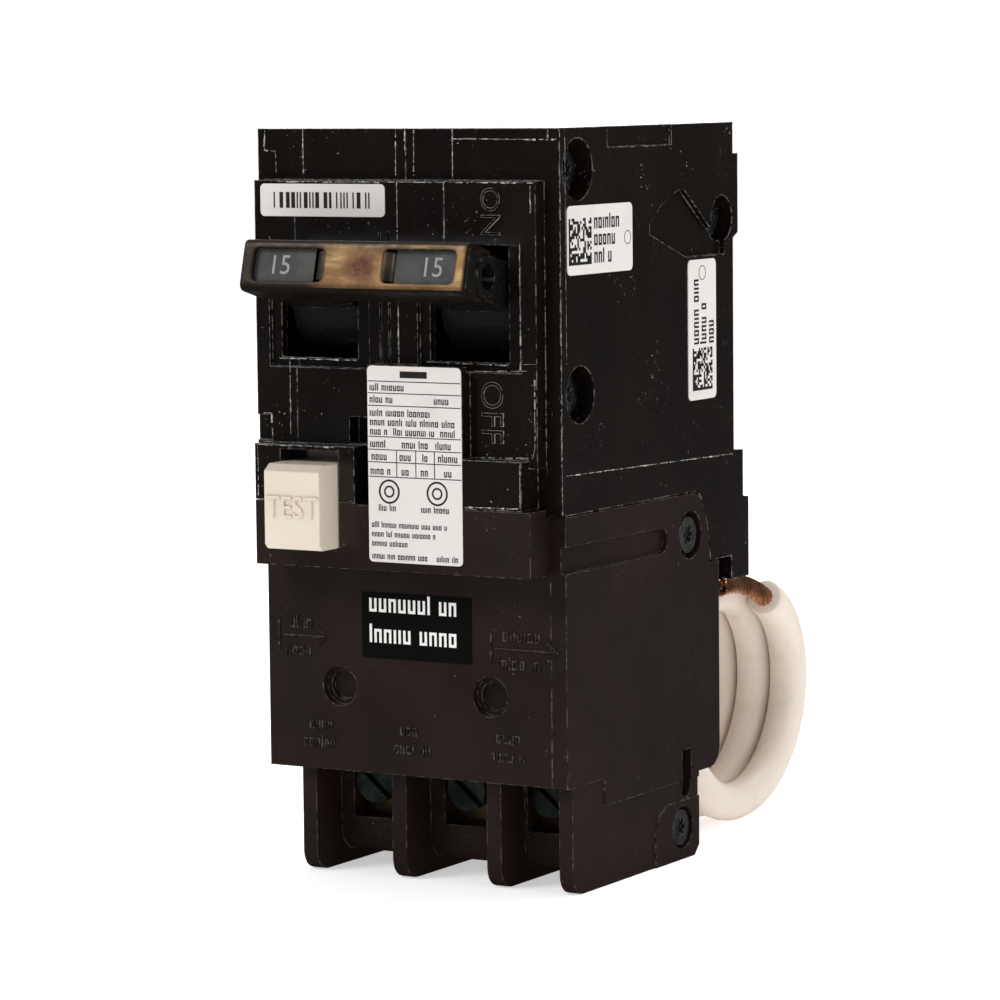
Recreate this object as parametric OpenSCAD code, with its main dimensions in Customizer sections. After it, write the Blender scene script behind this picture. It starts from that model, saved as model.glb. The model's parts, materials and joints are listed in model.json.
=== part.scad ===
// Two-pole plug-on ground-fault breaker, standing on its load end.
// X runs across the two poles, the handles face -Y, +Z is the line end.
// Shapes are drawn in a case frame whose Y starts at the plain front face,
// and placed() moves that frame so that the whole body is centred on Y.

/* [Case] */
// Width across both poles
case_w = 50.4; // [50:0.1:50.8]
// Height from the terminal fins to the line end
case_h = 109.6; // [108.6:0.2:110.6]
// Depth from the front face to the rail foot
foot_depth = 57.9; // [57.5:0.1:58.5]
// Wall thickness of the mouldings
wall = 1.8; // [1.6:0.1:2]
// Height of the ledge that carries the test button
ledge_out = 4.8; // [4.4:0.1:5.2]
// Height of the handle escutcheon
escutcheon_out = 2.5; // [2.2:0.1:2.8]

/* [Handles] */
// Depth of the handle pivot behind the front face
pivot_y = 8.2; // [8:0.1:8.6]
// Height of the handle pivot
pivot_z = 84.9; // [84.5:0.1:85.3]
// Angle of the handles above level when on
handle_on = 15; // [13:0.5:16]
// Reach of the tie's front face from the pivot
tie_reach = 21.9; // [21.5:0.1:22.5]
// Width of one handle
handle_w = 11.8; // [11:0.1:12.2]

/* [Terminals] */
// Radius of the wire hole in each lug
lug_bore_r = 3.3; // [2.8:0.1:3.4]
// Radius of the clamping screws
clamp_screw_r = 1.95; // [1.7:0.05:1.95]
// Inward travel of a clamping screw
clamp_travel = 2.5; // [1.5:0.1:2.6]

/* [Neutral pigtail] */
// Diameter of the insulated wire
wire_d = 5.8; // [5:0.1:6]
// Mean radius of the coiled turns
coil_r = 16.4; // [15:0.1:16.4]
// Number of turns in the coil
coil_turns = 4.44; // [3:0.01:4.44]
// Advance of the coil for each turn
coil_pitch = 5.9; // [5.85:0.05:6.1]

/* [Hidden] */

eps = 0.01;
round_fn = 48;
half_w = case_w / 2;

// The handle, knob and tie are drawn along +u with the pivot at the origin
tie_t = 0.8;
tie_h = 7.6;
tie_front_drop = tie_h / 2;
front_reach = tie_reach * cos(handle_on) + tie_front_drop * sin(handle_on) - pivot_y;
front_y = -(foot_depth - front_reach) / 2;

// Poles: left edge of each, and the middle of each handle
pole_x = [-half_w, 0];
handle_shift = -1.2;
function handle_x(i) = pole_x[i] + half_w / 2 + handle_shift;
function pole_mid(i) = pole_x[i] + half_w / 2;
seam_x = 7.8;

// Outline of the black mouldings seen from the right
line_z = case_h;
joint_z = 54.9;
foot_z = 40.4;
foot_bottom_z = 44;
foot_gap_y = 52.2;
case_back_y = 53.1;
case_outline = [
  [0, joint_z], [0, line_z], [case_back_y, line_z], [case_back_y, 104.9], [54.7, 104.9],
  [54.7, 93], [case_back_y, 92.2], [case_back_y, 60.1], [56.1, 59.9], [56.1, 52.8],
  [foot_depth, 52.6], [foot_depth, foot_z], [foot_gap_y, foot_z], [foot_gap_y, foot_bottom_z],
  [45.3, foot_bottom_z], [45, 47], [43.8, 51.2], [42, 54.2], [39.8, joint_z]
];
// Outline of the brown load-end moulding above its terminals
load_front_y = 0.9;
load_top_z = 54.7;
load_back_y = 47.9;
load_base_z = 15.8;
load_outline = [
  [load_front_y, load_base_z], [load_front_y, load_top_z], [39.6, load_top_z], [41.8, 54],
  [43.6, 51.1], [44.8, 46.9], [45.1, 43.8], [load_back_y, 43.8], [load_back_y, 15.2],
  [47.3, 13.8], [46.2, 12.9], [44.8, 12.6], [41.1, 12.6], [41.1, load_base_z - 4],
  [12, load_base_z - 4], [12, load_base_z]
];
block_back_y = 41.1;
fin_front_y = 2.7;
fin_round = 3;
cover_x = 22.7;

// Terminal bays and their fins
fin_x = [-20.8, -5.3, 10.7];
fin_t = 2.4;
bay_x = [-11.8, 3.9, 17.9];
screw_z = 13.1;
lug_y = 13.6;
lug_d = 12;
lug_half_w = 4.3;
lug_z = [7.5, 18.7];
lug_bore_y = lug_y + 6.6;
clamp_hole_r = clamp_screw_r + 0.05;

// Side screws as [y, z, recess radius, shank length, recess depth]
side_screws = [[5.2, 103.7, 4.4, 42, 3.4], [49.4, 95.3, 3.4, 5, 3.4], [5.5, 71.8, 4.1, 42, 3.4]];
load_screws = [[38.7, 48.5, 3.6, 42, 1.8], [35.8, 4.8, 3.2, 12, 1.8]];
screw_head_t = 1.4;

// Test button and its well in the ledge
button_x = [-18.7, -9.3];
button_z = [49.3, 61.6];
button_front_y = -9.6;
button_gap = 0.3;
flange_y = 3.2;
spring_seat_y = 11;
well_top_z = 63.4;
surround_top_z = 64.1;
channel_x = [-6.4, -3.95];

// Mechanism places in the case frame
arm_pivot = [30, 74];
arm_top_z = 98.5;
bar_pivot = [38, 62];
bar_r = 1.85;
lever_pivot = [20, 64];
window = [-19, 19, 21, 35.5];
plunger_at = [-5.5, 31];
sensor_at = [9, 25];

// Pigtail: the coil's axis runs along X behind the load end
coil_y = 69;
coil_z = coil_r + wire_d / 2 + 0.1;
coil_end_x = 19.3;
coil_start_x = coil_end_x - coil_turns * coil_pitch;
// Route of the straight lead, in the case frame: housing hole to the coil's lowest point
lead_route = [
  [-6.9, 34.5, 6.4], [-6.9, 44, 6.4], [-6.9, 48, 6], [-6.9, 52, 5],
  [-6.9, 56, 4], [-6.9, 60, 3.2], [-6.9, 64, 3], [-6.9, 68, 3]
];
// Route of the bare strands, in the case frame: coil end to the rail foot
strand_route = [
  [19.3, 74.6, 34.8], [19.3, 70.4, 36.6], [19.2, 66, 37.8], [19, 62, 38.2], [18.8, 59.5, 38.2]
];
strand_d = 3.6;

// ---- helpers ----
module placed() translate([0, front_y, 0]) children();
module box(x0, x1, y0, y1, z0, z1) translate([x0, y0, z0]) cube([x1 - x0, y1 - y0, z1 - z0]);
module side_prism(pts, x0, x1)
  translate([x0, 0, 0]) rotate([90, 0, 90]) linear_extrude(x1 - x0) polygon(pts);
module rod_x(y, z, r, x0, x1)
  translate([x0, y, z]) rotate([0, 90, 0]) cylinder(r = r, h = x1 - x0, $fn = round_fn);
module rod_y(x, z, r, y0, y1)
  translate([x, y0, z]) rotate([-90, 0, 0]) cylinder(r = r, h = y1 - y0, $fn = round_fn);
module rod_z(x, y, r, z0, z1)
  translate([x, y, z0]) cylinder(r = r, h = z1 - z0, $fn = round_fn);

// A flat plate with rounded corners, lying in XY from the origin
module rounded_plate(w, h, t, r) {
  translate([r, 0, 0]) cube([w - 2 * r, h, t]);
  translate([0, r, 0]) cube([w, h - 2 * r, t]);
  for (x = [r, w - r], y = [r, h - r])
    translate([x, y, 0]) cylinder(r = r, h = t, $fn = round_fn);
}

// One ring of a swept tube, square to the route at point i
function unit(v) = v / norm(v);
function heading(pts, i) = unit(pts[min(i + 1, len(pts) - 1)] - pts[max(i - 1, 0)]);
function ring_at(pts, i, r, sides, guide) =
  let (t = heading(pts, i), a = unit(cross(t, guide)), b = cross(t, a))
  [for (k = [0 : sides - 1]) pts[i] + r * (cos(360 * k / sides) * a + sin(360 * k / sides) * b)];
// Tube along a list of points; the guide is a direction that no part of the route follows
module swept_tube(pts, d, sides, guide) {
  n = len(pts);
  rings = [for (i = [0 : n - 1]) each ring_at(pts, i, d / 2, sides, guide)];
  walls = [for (i = [0 : n - 2], k = [0 : sides - 1])
    [i * sides + k, i * sides + (k + 1) % sides,
     (i + 1) * sides + (k + 1) % sides, (i + 1) * sides + k]];
  start = [[for (k = [sides - 1 : -1 : 0]) k]];
  finish = [[for (k = [0 : sides - 1]) (n - 1) * sides + k]];
  polyhedron(points = rings, faces = concat(walls, start, finish), convexity = 6);
}

// ---- black mouldings ----
module escutcheon_slot(i) {
  x = handle_x(i);
  box(x - 6.5, x + 6.5, -escutcheon_out - 1, 4, pivot_z - 8.3, pivot_z + 8.3);
  box(x - 8.2, x + 8.8, -escutcheon_out - 1, -escutcheon_out + 0.7, pivot_z - 9.7, pivot_z + 8.3);
}

// Everything that is hollow or cut in one pole
module pole_hollow(i) {
  x0 = pole_x[i] + wall;
  x1 = pole_x[i] + half_w - wall;
  box(x0, x1, 2, 51.3, 57, line_z - 2);
  box(x0 + 1, x1 - 2.5, -0.4, 2.5, pivot_z - 10, pivot_z + 10);
  escutcheon_slot(i);
  // stab slot, open to the back and the line end
  box(pole_mid(i) - 2.3, pole_mid(i) + 2.3, 49.4, 60, 92, line_z + 1);
  box(window[0], window[1], window[2], window[3], joint_z - 1, 58);
  // clearance for the trip bar through the pole walls
  rod_x(bar_pivot[0], bar_pivot[1], bar_r + 0.05, -22.6, 21);
}

module ledge_wells() {
  box(button_x[0] - button_gap, button_x[1] + button_gap, -ledge_out - 1, 4,
      button_z[0] - button_gap, well_top_z);
  box(button_x[0] - 2, button_x[1] + 2, 2.9, 12, button_z[0] - 2, button_z[1] + 2);
}

// Solid of one pole between two X planes, with escutcheon, label pad and ledge
module pole_solid(x0, x1) {
  side_prism(case_outline, x0, x1);
  raised_front(x0, x1, [-24.3, cover_x], escutcheon_out, [61.8, 102.2]);
  raised_front(x0, x1, [-23.4, 21.3], ledge_out, [55.9, 62.9]);
  raised_front(x0, x1, [-23.4, channel_x[0]], ledge_out, [55.9, surround_top_z]);
  raised_front(x0, x1, [channel_x[1], 11.75], ledge_out, [62, 76]);
}
// Part of a raised block on the front face that lies between two X planes
module raised_front(x0, x1, span, out, z) {
  left = max(x0, span[0]);
  right = min(x1, span[1]);
  if (right > left) box(left, right, -out, eps, z[0], z[1]);
}
// Channel beside the button, with a notch above it and a step at the left edge
module front_cuts() {
  box(channel_x[0], channel_x[1], -ledge_out - 1, 0, joint_z, surround_top_z);
  box(-8.5, channel_x[1], -ledge_out - 1, 0, 64.4, 68.2);
  box(-25, -21.8, -escutcheon_out - 1, -escutcheon_out + 0.4, 64.4, 68.1);
}

// Posts that carry the long case screws through a pole
module screw_posts(x0, x1) {
  for (s = side_screws) if (s[3] > 10) rod_x(s[0], s[1], 3.2, x0 + eps, x1 - eps);
}
module screw_holes(screws) {
  for (s = screws) {
    rod_x(s[0], s[1], 1.6, half_w - s[4] - 0.2 - s[3], half_w + 1);
    rod_x(s[0], s[1], s[2], half_w - s[4], half_w + 1);
  }
}
module screw_cups(screws) {
  for (s = screws) rod_x(s[0], s[1], s[2] + 1.2, half_w - 5, half_w - 0.1);
}

module pole_part(i, x0, x1) {
  placed() difference() {
    union() {
      difference() {
        pole_solid(x0, x1);
        pole_hollow(i);
      }
      screw_posts(x0, x1);
      if (x1 > half_w - 1) intersection() {
        screw_cups(side_screws);
        box(x0, x1, 0, case_back_y, joint_z, line_z);
      }
    }
    screw_holes(side_screws);
    ledge_wells();
    front_cuts();
    if (x1 > half_w - 1) moulded_side();
    // fine grooves between the poles under the tie
    for (x = [-3, -1.5]) box(x - 0.12, x + 0.12, -escutcheon_out - 1, -escutcheon_out + 0.4, 76, 95);
  }
}

// Shallow moulded shapes on the right side of the black case
module moulded_side() {
  side_prism([[28.4, 96.3], [30, 97.7], [35.6, 99.9], [37.4, 99.9], [45.3, 94.2], [50.3, 92],
              [50.3, 89.9], [38, 89.9], [26.6, 93.7], [26.6, 95]], half_w - 0.9, half_w + 1);
  box(half_w - 0.4, half_w + 1, 14, 33.5, 106.6, line_z + 1);
}

module left_cover() color([0.10, 0.09, 0.08]) pole_part(0, -half_w, -half_w + seam_x);
module left_case() color([0.11, 0.10, 0.09]) pole_part(0, -half_w + seam_x, 0);
module right_cover() color([0.10, 0.09, 0.08]) pole_part(1, 0, seam_x);
module right_case() color([0.11, 0.10, 0.09]) pole_part(1, seam_x, half_w);

// ---- brown load end ----
module fin_outline_solid(x0, x1) {
  side_prism(fin_profile(), x0, x1);
}
function fin_profile() = concat(
  [[12, load_base_z - eps], [fin_front_y, load_base_z - eps]],
  [for (a = [180 : 15 : 270])
    [fin_front_y + fin_round + fin_round * cos(a), fin_round + fin_round * sin(a)]],
  [[block_back_y - 1.5, 0], [block_back_y, 1.5], [block_back_y, load_base_z - eps]]
);
// Front of the terminal block: plain above, rounded under into its flat base
block_front_y = 9.5;
block_base_z = 1.8;
block_round = 4;
function block_profile() = concat(
  [[block_back_y, load_base_z - eps], [block_front_y, load_base_z - eps]],
  [for (a = [180 : 15 : 270]) [block_front_y + block_round + block_round * cos(a),
                              block_base_z + block_round + block_round * sin(a)]],
  [[block_back_y, block_base_z]]
);

module load_solid() {
  side_prism(load_outline, -half_w, cover_x);
  box(-23.4, cover_x, -ledge_out, load_front_y + eps, 46.4, load_top_z);
  box(-23.4, cover_x, -ledge_out, -0.1, load_top_z - eps, 55.8);
  side_prism(block_profile(), fin_x[0], cover_x);
  for (x = fin_x) fin_outline_solid(x, x + fin_t);
}

module load_hollow() {
  x0 = -half_w + 2.4;
  box(x0, cover_x + 1, 2.9, 38, 24, 52.8);
  box(x0, cover_x + 1, 30, 45.4, 24, 41.5);
  box(window[0], window[1], window[2], window[3], 50, load_top_z + 1);
  // screw bays: open below the front wall, closed above the screw heads
  for (i = [0 : 2]) {
    left = fin_x[i] + fin_t;
    right = i == 2 ? cover_x + 0.5 : fin_x[i + 1];
    box(left, right, 2.7, block_front_y, load_base_z - 1, 20);
    box(bay_x[i] - lug_half_w, bay_x[i] + lug_half_w, block_front_y - 1, lug_y + lug_d,
        lug_z[0], lug_z[1]);
    rod_z(bay_x[i], lug_bore_y, 4.1, 0, lug_z[0]);
    box(bay_x[i] - 2, bay_x[i] + 2, lug_y + lug_d - 1, 30, 14, 25);
    box(bay_x[i] - 2.5, bay_x[i] + 3.3, 22.5, 30, lug_z[1], 25);
  }
  // neutral pigtail hole through the back wall
  rod_y(coil_start_x, lead_route[0][2], wire_d / 2 + 0.2, 33, block_back_y + 1);
  rod_z(coil_start_x, 37.4, 1.6, lead_route[0][2], 26);
}

module blind_recess(x, z) {
  rod_y(x, z, 2.9, load_front_y - 1, load_front_y + 1.2);
  rod_y(x, z, 2.1, load_front_y, load_front_y + 1.9);
}

module load_housing() color([0.17, 0.12, 0.11]) placed() difference() {
  load_solid();
  load_hollow();
  ledge_wells();
  screw_holes(load_screws);
  blind_recess(-12.9, 28.3);
  blind_recess(12.6, 28.3);
}

module load_cover() color([0.18, 0.13, 0.12]) placed() difference() {
  union() {
    side_prism(load_outline, cover_x, half_w);
    side_prism(fin_profile(), cover_x, half_w - 0.25);
    side_prism([[27.4, 0], [27.4, 5], [28.6, 7.6], [31, 8.9], [block_back_y, 8.9],
                [block_back_y, 1.5], [39.6, 0]], cover_x, half_w);
  }
  screw_holes(load_screws);
  // shallow channel with a round end, and a blind drain slot
  box(half_w - 0.8, half_w + 1, 0, 29.6, 46.6, 50.4);
  rod_x(29.6, 48.5, 1.9, half_w - 0.8, half_w + 1);
  box(half_w - 1.6, half_w + 1, 35.7, 38.7, 10.7, 16.4);
  rod_x(37.2, 10.7, 1.5, half_w - 1.6, half_w + 1);
}

// Pan-head screws with a six-lobe drive, driven from the right side
module side_screw(s) {
  floor_x = half_w - s[4];
  head_x = floor_x + screw_head_t;
  difference() {
    union() {
      rod_x(s[0], s[1], 2.7, floor_x, head_x);
      rod_x(s[0], s[1], 1.5, floor_x - s[3], floor_x + eps);
    }
    for (a = [0 : 60 : 120])
      translate([head_x, s[0], s[1]]) rotate([a, 0, 0]) cube([1.6, 2.8, 0.7], center = true);
  }
}
module case_screws() color([0.72, 0.72, 0.70]) placed() {
  for (s = side_screws) side_screw(s);
  for (s = load_screws) side_screw(s);
}

// ---- handles and tie, drawn level with the pivot at the origin ----
module at_pivot() placed() translate([0, pivot_y, pivot_z]) rotate([-handle_on, 0, 0]) children();
drum_r = 8;
knob_half_h = tie_h / 2 - tie_t - 0.05;
module handle(i) {
  x = handle_x(i);
  knob_y = -tie_reach + tie_t + 0.1;
  at_pivot() difference() {
    union() {
      rod_x(0, 0, drum_r, x - handle_w / 2, x + handle_w / 2);
      box(x - handle_w / 2, x + handle_w / 2, -15, -5, -3.2, 3.2);
      box(x - handle_w / 2, x + handle_w / 2, knob_y, -13.6, -knob_half_h, knob_half_h);
      // raised ring round the tie-pin hole
      rod_x(-16, 0, 2.9, x - handle_w / 2 - 0.4, x + handle_w / 2 + 0.4);
    }
    rod_x(0, 0, 1.55, x - handle_w, x + handle_w);
    rod_x(-16, 0, 1.9, x - handle_w, x + handle_w);
  }
}
module handle_left() color([0.2, 0.2, 0.19]) handle(0);
module handle_right() color([0.2, 0.2, 0.19]) handle(1);

// Stamped channel over both handles with a window for each rating
tie_window_h = 4.8;
// start from the left end, and width
tie_windows = [[1.8, 11.9], [23.7, 11.6]];
module handle_tie() color([0.62, 0.46, 0.27]) {
  x0 = handle_x(0) - handle_w / 2;
  x1 = handle_x(1) + handle_w / 2;
  at_pivot() difference() {
    box(x0, x1, -tie_reach, -15.4, -tie_h / 2, tie_h / 2);
    box(x0 - 1, x1 + 1, -tie_reach + tie_t, -14, -tie_h / 2 + tie_t, tie_h / 2 - tie_t);
    for (w = tie_windows)
      translate([x0 + w[0], -tie_reach - 1, -tie_window_h / 2]) rotate([90, 0, 0])
        mirror([0, 0, 1]) rounded_plate(w[1], tie_window_h, 3, 0.9);
  }
}

// ---- test button ----
module test_button() color([0.94, 0.90, 0.83]) placed() difference() {
  union() {
    side_prism([[button_front_y + 0.7, button_z[0]], [button_front_y, button_z[0] + 0.7],
                [button_front_y, button_z[1] - 1], [button_front_y + 1.4, button_z[1]],
                [flange_y + eps, button_z[1]], [flange_y + eps, button_z[0]]], button_x[0], button_x[1]);
    box(button_x[0] - 1.5, button_x[1] + 1.5, flange_y, flange_y + 1.2,
        button_z[0] - 1.5, button_z[1] + 1.5);
  }
  box(button_x[0] + 1.5, button_x[1] - 1.5, button_front_y + 2, flange_y - 1,
      button_z[0] + 1.5, button_z[1] - 1.5);
}
button_mid = [(button_x[0] + button_x[1]) / 2, (button_z[0] + button_z[1]) / 2];
function spring_point(t, turns, r, y0, y1) =
  [button_mid[0] + r * cos(360 * turns * t),
   y0 + (y1 - y0) * t,
   button_mid[1] + r * sin(360 * turns * t)];
spring_turns = 5;
spring_steps = spring_turns * 12;
module test_spring() color([0.75, 0.75, 0.74]) placed()
  swept_tube([for (k = [0 : spring_steps])
    spring_point(k / spring_steps, spring_turns, 2.6, flange_y + 1.6, spring_seat_y - 0.4)],
    0.6, 6, [0, 1, 0]);
module test_contact() color([0.78, 0.55, 0.30]) placed() {
  box(button_mid[0] - 4, button_mid[0] + 4, spring_seat_y, spring_seat_y + 0.8, 50, 58);
  box(button_mid[0] - 4, button_mid[0] - 2, spring_seat_y, spring_seat_y + 0.8, 41, 50 + eps);
  box(-21.4, button_mid[0] - 2, spring_seat_y, spring_seat_y + 0.8, 41, 42);
}

// ---- pole mechanism ----
module contact_arm(i) {
  x = handle_x(i);
  placed() difference() {
    union() {
      rod_x(arm_pivot[0], arm_pivot[1], 3, x - 2, x + 2);
      box(x - 2, x + 2, arm_pivot[0] - 1.6, arm_pivot[0] + 1.6, arm_pivot[1], arm_top_z);
      rod_y(x, arm_top_z - 2.6, 1.9, arm_pivot[0] + 1.5, arm_pivot[0] + 2.8);
    }
    rod_x(arm_pivot[0], arm_pivot[1], 1.55, x - 3, x + 3);
  }
}
module contact_arm_left() color([0.75, 0.48, 0.30]) contact_arm(0);
module contact_arm_right() color([0.75, 0.48, 0.30]) contact_arm(1);

// Fixed contact, its strap and the two-fingered stab jaw, in one conductor
module line_jaw(i) {
  x = handle_x(i);
  m = pole_mid(i);
  strap_y = arm_pivot[0] + 4.2;
  placed() {
    rod_y(x, arm_top_z - 2.6, 1.9, arm_pivot[0] + 2.9, strap_y + eps);
    box(x - 3, x + 3, strap_y, strap_y + 1.4, 91.5, 99);
    box(x - 3, m + 3.4, strap_y, 42, 99 - eps, 100.4);
    for (s = [-1, 1]) {
      near = m + s * 1.2;
      far = m + s * 2.4;
      box(min(near, far), max(near, far), 38, 49, 93, line_z - 2);
    }
    box(m - 2.4, m + 2.4, 38 - 1.2, 38 + eps, 93, line_z - 2);
  }
}
module line_jaw_left() color([0.74, 0.47, 0.30]) line_jaw(0);
module line_jaw_right() color([0.74, 0.47, 0.30]) line_jaw(1);

// Notched steel plates between two fibre sides
module arc_chute(i) {
  x = handle_x(i);
  placed() {
    for (k = [0 : 4]) difference() {
      box(x - 6.2, x + 6.2, 20 + 2.2 * k, 21 + 2.2 * k, 94, line_z - 2);
      box(x - 3, x + 3, 19, 33, 90, 101.5);
    }
    for (s = [-1, 1]) {
      near = x + s * 6.2;
      far = x + s * 7.2;
      box(min(near, far), max(near, far), 19.4, 31.4, 94, line_z - 2);
    }
  }
}
module arc_chute_left() color([0.55, 0.55, 0.55]) arc_chute(0);
module arc_chute_right() color([0.55, 0.55, 0.55]) arc_chute(1);

module latch_lever(i) {
  x = handle_x(i);
  placed() difference() {
    union() {
      rod_x(lever_pivot[0], lever_pivot[1], 2.8, x - 1.5, x + 1.5);
      box(x - 1.5, x + 1.5, lever_pivot[0], 33.5, lever_pivot[1] - 1.5, lever_pivot[1] + 1.5);
    }
    rod_x(lever_pivot[0], lever_pivot[1], 1.55, x - 3, x + 3);
  }
}
module latch_lever_left() color([0.6, 0.6, 0.6]) latch_lever(0);
module latch_lever_right() color([0.6, 0.6, 0.6]) latch_lever(1);

// Bar through both poles: a finger in each pole holds a latch lever, a tab meets the plunger
module trip_bar() color([0.8, 0.76, 0.66]) placed() {
  y = bar_pivot[0];
  z = bar_pivot[1];
  rod_x(y, z, bar_r, -22.4, 20.8);
  for (i = [0, 1]) {
    x = handle_x(i);
    box(x - 3, x + 3, y - 1.2, y + 1.2, z, z + 8);
    box(x - 3, x + 3, y - 3.6, y, z + 0.5, z + 3.4);
  }
  box(plunger_at[0] - 2.4, plunger_at[0] + 2.4, y - 9, y, z - 1.6, z - 0.2);
}

module bimetal(i) {
  x = handle_x(i);
  placed() {
    box(x - 2.6, x + 2.6, 45, 46.2, 58, 84);
    box(x - 2.6, x + 2.6, 46.2 - eps, 51.3, 82.6, 84);
  }
}
module bimetal_left() color([0.7, 0.66, 0.55]) bimetal(0);
module bimetal_right() color([0.7, 0.66, 0.55]) bimetal(1);
module magnet_yoke(i) {
  x = handle_x(i);
  placed() difference() {
    box(x - 5.6, x + 5.6, 43.6, 51.3, 68, 78);
    box(x - 3.8, x + 3.8, 43, 47.8, 67, 79);
  }
}
module magnet_yoke_left() color([0.5, 0.5, 0.5]) magnet_yoke(0);
module magnet_yoke_right() color([0.5, 0.5, 0.5]) magnet_yoke(1);

// Steel pins of the handles, contact arms and latch levers
module pivot_pins() color([0.7, 0.7, 0.7]) placed() for (i = [0, 1]) {
  x0 = pole_x[i] + wall;
  x1 = pole_x[i] + half_w - wall;
  rod_x(pivot_y, pivot_z, 1.5, x0, x1);
  rod_x(arm_pivot[0], arm_pivot[1], 1.5, x0, x1);
  rod_x(lever_pivot[0], lever_pivot[1], 1.5, x0, x1);
}

// ---- ground-fault parts in the load end ----
module circuit_board() color([0.16, 0.40, 0.25]) placed() {
  board_x = -21.4;
  box(-22.8, board_x, 4, 36, 25, 46);
  box(board_x - eps, -19, 8, 15, 34, 39);
  box(board_x - eps, -17.8, 20, 28, 27, 33);
  rod_x(32, 41, 3, board_x - eps, -15.5);
  box(board_x - eps, -18.5, 18, 22, 38, 44);
}
// Wound ring on two short legs
module current_sensor() color([0.75, 0.68, 0.35]) placed() {
  difference() {
    rod_z(sensor_at[0], sensor_at[1], 10.4, 30, 38);
    rod_z(sensor_at[0], sensor_at[1], 6.5, 29, 39);
  }
  for (y = [16, 33]) box(sensor_at[0] - 3, sensor_at[0] + 3, y, y + 1.4, 24, 31);
}
// Wound bobbin between two square flanges, blind at its lower end
module solenoid_coil() color([0.70, 0.38, 0.20]) placed() {
  x = plunger_at[0];
  y = plunger_at[1];
  difference() {
    union() {
      rod_z(x, y, 4.6, 28 - eps, 40 + eps);
      box(x - 4.6, x + 4.6, y - 4.6, y + 4.6, 24, 28);
      box(x - 5, x + 5, y - 5, y + 5, 40, 41.2);
    }
    rod_z(x, y, 2.1, 28, 42);
  }
}
module solenoid_plunger() color([0.8, 0.8, 0.8]) placed() {
  rod_z(plunger_at[0], plunger_at[1], 2.05, 31, 45);
  rod_z(plunger_at[0], plunger_at[1], 1.2, 45 - eps, 59.6);
}

// Insulated leads from the lugs through the sensor's hole
lead_d = 2.2;
module lead_left() color([0.15, 0.15, 0.16]) placed()
  swept_tube([[bay_x[0], 26.7, 17], [bay_x[0], 26.7, 21], [-9.5, 24.4, 25], [0, 23.6, 26.6], [5, 24, 29],
              [5, 24, 42], [1, 23.5, 46], [-8, 23.5, 49], [-15, 26, 51.5], [-17.5, 30, 54],
              [-17.5, 34, 58.2], [-16.5, 40, 58.2], [-14.5, 44.6, 59]], lead_d, 8, [1, 1, 0]);
module lead_right() color([0.75, 0.12, 0.10]) placed()
  swept_tube([[bay_x[2], 26.7, 17], [bay_x[2], 26.7, 21], [16.5, 26, 25], [13.6, 25, 27],
              [12.8, 25, 30], [12.8, 25, 42], [14, 26, 47], [16, 28, 50], [16.5, 30, 54],
              [16.5, 34, 58.2], [15, 40, 58.2], [11.8, 44.6, 59]], lead_d, 8, [1, 1, 0]);
module lead_neutral() color([0.92, 0.90, 0.86]) placed()
  swept_tube([[bay_x[1], 26.7, 17], [bay_x[1], 26.7, 22], [7, 28.6, 26], [8.6, 29.4, 30], [8.6, 29.4, 40],
              [5, 33, 40.2], [2, 38, 39.2], [-2, 41.6, 37], [-6, 42, 33.5], [-6.9, 39.6, 30],
              [-6.9, 37.5, 27], [-6.9, 37.4, 23], [-6.9, 37.4, 9.3]], lead_d, 8, [1, 1, 0]);

// ---- load terminals ----
module load_lugs() color([0.72, 0.60, 0.34]) placed() for (x = bay_x) difference() {
  union() {
    box(x - lug_half_w, x + lug_half_w, lug_y, lug_y + lug_d, lug_z[0], lug_z[1]);
    rod_y(x, screw_z, 3.9, lug_y - 0.8, lug_y + eps);
  }
  rod_z(x, lug_bore_y, lug_bore_r, lug_z[0] - 1, lug_z[1] + 1);
  rod_y(x, screw_z, clamp_hole_r, lug_y - 2, lug_bore_y);
}
head_back_y = lug_y - 0.8 - clamp_travel - 0.1;
head_t = 1.8;
pad_y = lug_y + 1.9;
module clamp_screw(i) placed() difference() {
  union() {
    rod_y(bay_x[i], screw_z, 3.2, head_back_y - head_t, head_back_y);
    rod_y(bay_x[i], screw_z, clamp_screw_r, head_back_y - eps, pad_y - 0.05);
  }
  translate([bay_x[i], head_back_y - head_t, screw_z]) rotate([0, 40, 0])
    cube([8, 1.6, 0.9], center = true);
}
module clamp_pad(i) placed()
  rod_y(bay_x[i], screw_z, clamp_screw_r, pad_y, pad_y + 0.9);
module clamp_screw_left() color([0.55, 0.58, 0.55]) clamp_screw(0);
module clamp_screw_neutral() color([0.55, 0.58, 0.55]) clamp_screw(1);
module clamp_screw_right() color([0.55, 0.58, 0.55]) clamp_screw(2);
module clamp_pad_left() color([0.7, 0.6, 0.4]) clamp_pad(0);
module clamp_pad_neutral() color([0.7, 0.6, 0.4]) clamp_pad(1);
module clamp_pad_right() color([0.7, 0.6, 0.4]) clamp_pad(2);

// ---- labels ----
label_t = 0.12;
// Label on a face that looks towards -Y
module front_label(x0, x1, z0, z1, face_y, r)
  placed() translate([x0, face_y, z0]) rotate([90, 0, 0])
    rounded_plate(x1 - x0, z1 - z0, label_t, r);
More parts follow.
